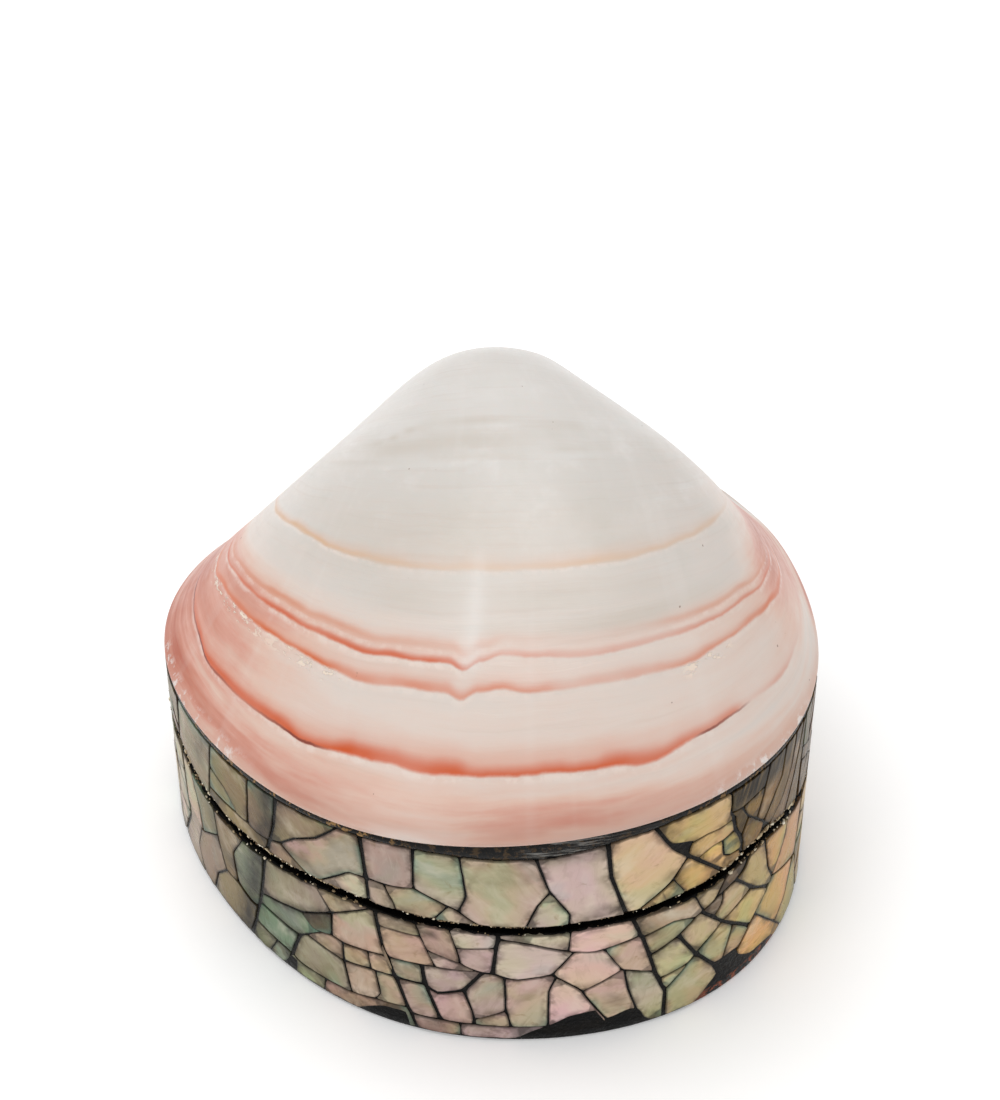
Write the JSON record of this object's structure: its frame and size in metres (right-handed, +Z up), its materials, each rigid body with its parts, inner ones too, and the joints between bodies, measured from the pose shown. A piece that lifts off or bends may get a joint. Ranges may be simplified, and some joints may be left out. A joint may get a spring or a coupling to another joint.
{
  "type": "shell box",
  "caption": "Small trinket box with a lift-off lid that is a polished clam valve, over curved walls of mother-of-pearl crackle mosaic in black lacquer.",
  "frame": {"origin": "middle of the closed box's footprint, on the surface it stands on", "axes": "+Z up, -Y towards the front below the valve's free edge, +Y towards the hinge line and beak of the valve, +X to the right as seen from the front"},
  "size_m": [0.061, 0.0569, 0.0435],
  "materials": {
    "lacquered_wood": "satin",
    "black_lacquer": "gloss",
    "mother_of_pearl": "polished",
    "polished_shell": "polished"
  },
  "bodies": {
    "root": {"base_tray": "lacquered_wood", "lid_ring": "lacquered_wood", "filler_bead": "black_lacquer", "shell_valve": "polished_shell", "lid_plate_01": "mother_of_pearl", "lid_plate_02": "mother_of_pearl", "lid_plate_03": "mother_of_pearl", "lid_plate_04": "mother_of_pearl", "lid_plate_05": "mother_of_pearl", "lid_plate_06": "mother_of_pearl", "lid_plate_07": "mother_of_pearl", "lid_plate_08": "mother_of_pearl", "lid_plate_09": "mother_of_pearl", "lid_plate_10": "mother_of_pearl", "lid_plate_11": "mother_of_pearl", "lid_plate_12": "mother_of_pearl", "lid_plate_13": "mother_of_pearl", "lid_plate_14": "mother_of_pearl", "lid_plate_15": "mother_of_pearl", "lid_plate_16": "mother_of_pearl", "lid_plate_17": "mother_of_pearl", "lid_plate_18": "mother_of_pearl", "base_plate_low_01": "mother_of_pearl", "base_plate_low_02": "mother_of_pearl", "base_plate_low_03": "mother_of_pearl", "base_plate_low_04": "mother_of_pearl", "base_plate_low_05": "mother_of_pearl", "base_plate_low_06": "mother_of_pearl", "base_plate_low_07": "mother_of_pearl", "base_plate_low_08": "mother_of_pearl", "base_plate_low_09": "mother_of_pearl", "base_plate_low_10": "mother_of_pearl", "base_plate_low_11": "mother_of_pearl", "base_plate_low_12": "mother_of_pearl", "base_plate_low_13": "mother_of_pearl", "base_plate_low_14": "mother_of_pearl", "base_plate_low_15": "mother_of_pearl", "base_plate_low_16": "mother_of_pearl", "base_plate_low_17": "mother_of_pearl", "base_plate_low_18": "mother_of_pearl", "base_plate_high_01": "mother_of_pearl", "base_plate_high_02": "mother_of_pearl", "base_plate_high_03": "mother_of_pearl", "base_plate_high_04": "mother_of_pearl", "base_plate_high_05": "mother_of_pearl", "base_plate_high_06": "mother_of_pearl", "base_plate_high_07": "mother_of_pearl", "base_plate_high_08": "mother_of_pearl", "base_plate_high_09": "mother_of_pearl", "base_plate_high_10": "mother_of_pearl", "base_plate_high_11": "mother_of_pearl", "base_plate_high_12": "mother_of_pearl", "base_plate_high_13": "mother_of_pearl", "base_plate_high_14": "mother_of_pearl", "base_plate_high_15": "mother_of_pearl", "base_plate_high_16": "mother_of_pearl", "base_plate_high_17": "mother_of_pearl", "base_plate_high_18": "mother_of_pearl"}
  },
  "joints": []
}
